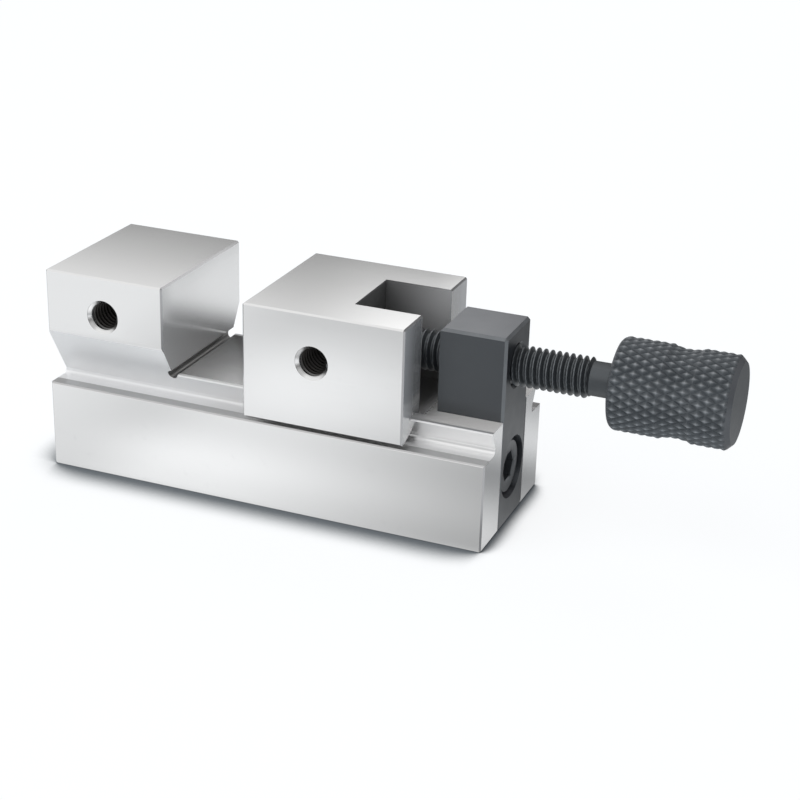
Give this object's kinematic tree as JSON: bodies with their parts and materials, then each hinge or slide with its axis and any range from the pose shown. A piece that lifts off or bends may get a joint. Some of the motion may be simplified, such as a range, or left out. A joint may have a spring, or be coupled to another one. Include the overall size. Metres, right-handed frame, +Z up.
{
  "type": "toolmakers vise",
  "caption": "Small precision vise: fixed jaw on a dovetail rail, sliding jaw driven by a knurled screw in an end bracket.",
  "frame": {"origin": "middle of the body's underside", "axes": "+X from the fixed jaw to the knob along the screw, +Y across the vise, +Z up"},
  "size_m": [0.102, 0.025, 0.0317],
  "materials": {
    "ground_steel": "finely ground tool steel",
    "black_oxide": "black oxide on steel, satin",
    "black_fastener": "black oxide fastener"
  },
  "bodies": {
    "base": {"vise_body": "ground_steel", "screw_bracket": "black_oxide", "bracket_cap_screw": "black_fastener"},
    "jaw": {"movable_jaw": "ground_steel", "nose_set_screw": "black_fastener"},
    "screw": {"clamping_screw": "black_oxide", "knurled_knob": "black_oxide"}
  },
  "joints": [
    {"name": "jaw_slide", "type": "slide", "parent": "base", "child": "jaw", "axis": [1, 0, 0], "range_m": [-0.013, 0.0125]},
    {"name": "screw_turn", "type": "hinge", "parent": "jaw", "child": "screw", "pos_m": [0.0121, 0, 0.0243], "axis": [1, 0, 0], "range_deg": [-4681, 4501]}
  ],
  "couplings": [
    {"joint": "screw_turn", "follows": "jaw_slide", "rad_per_m": 6283.2}
  ]
}
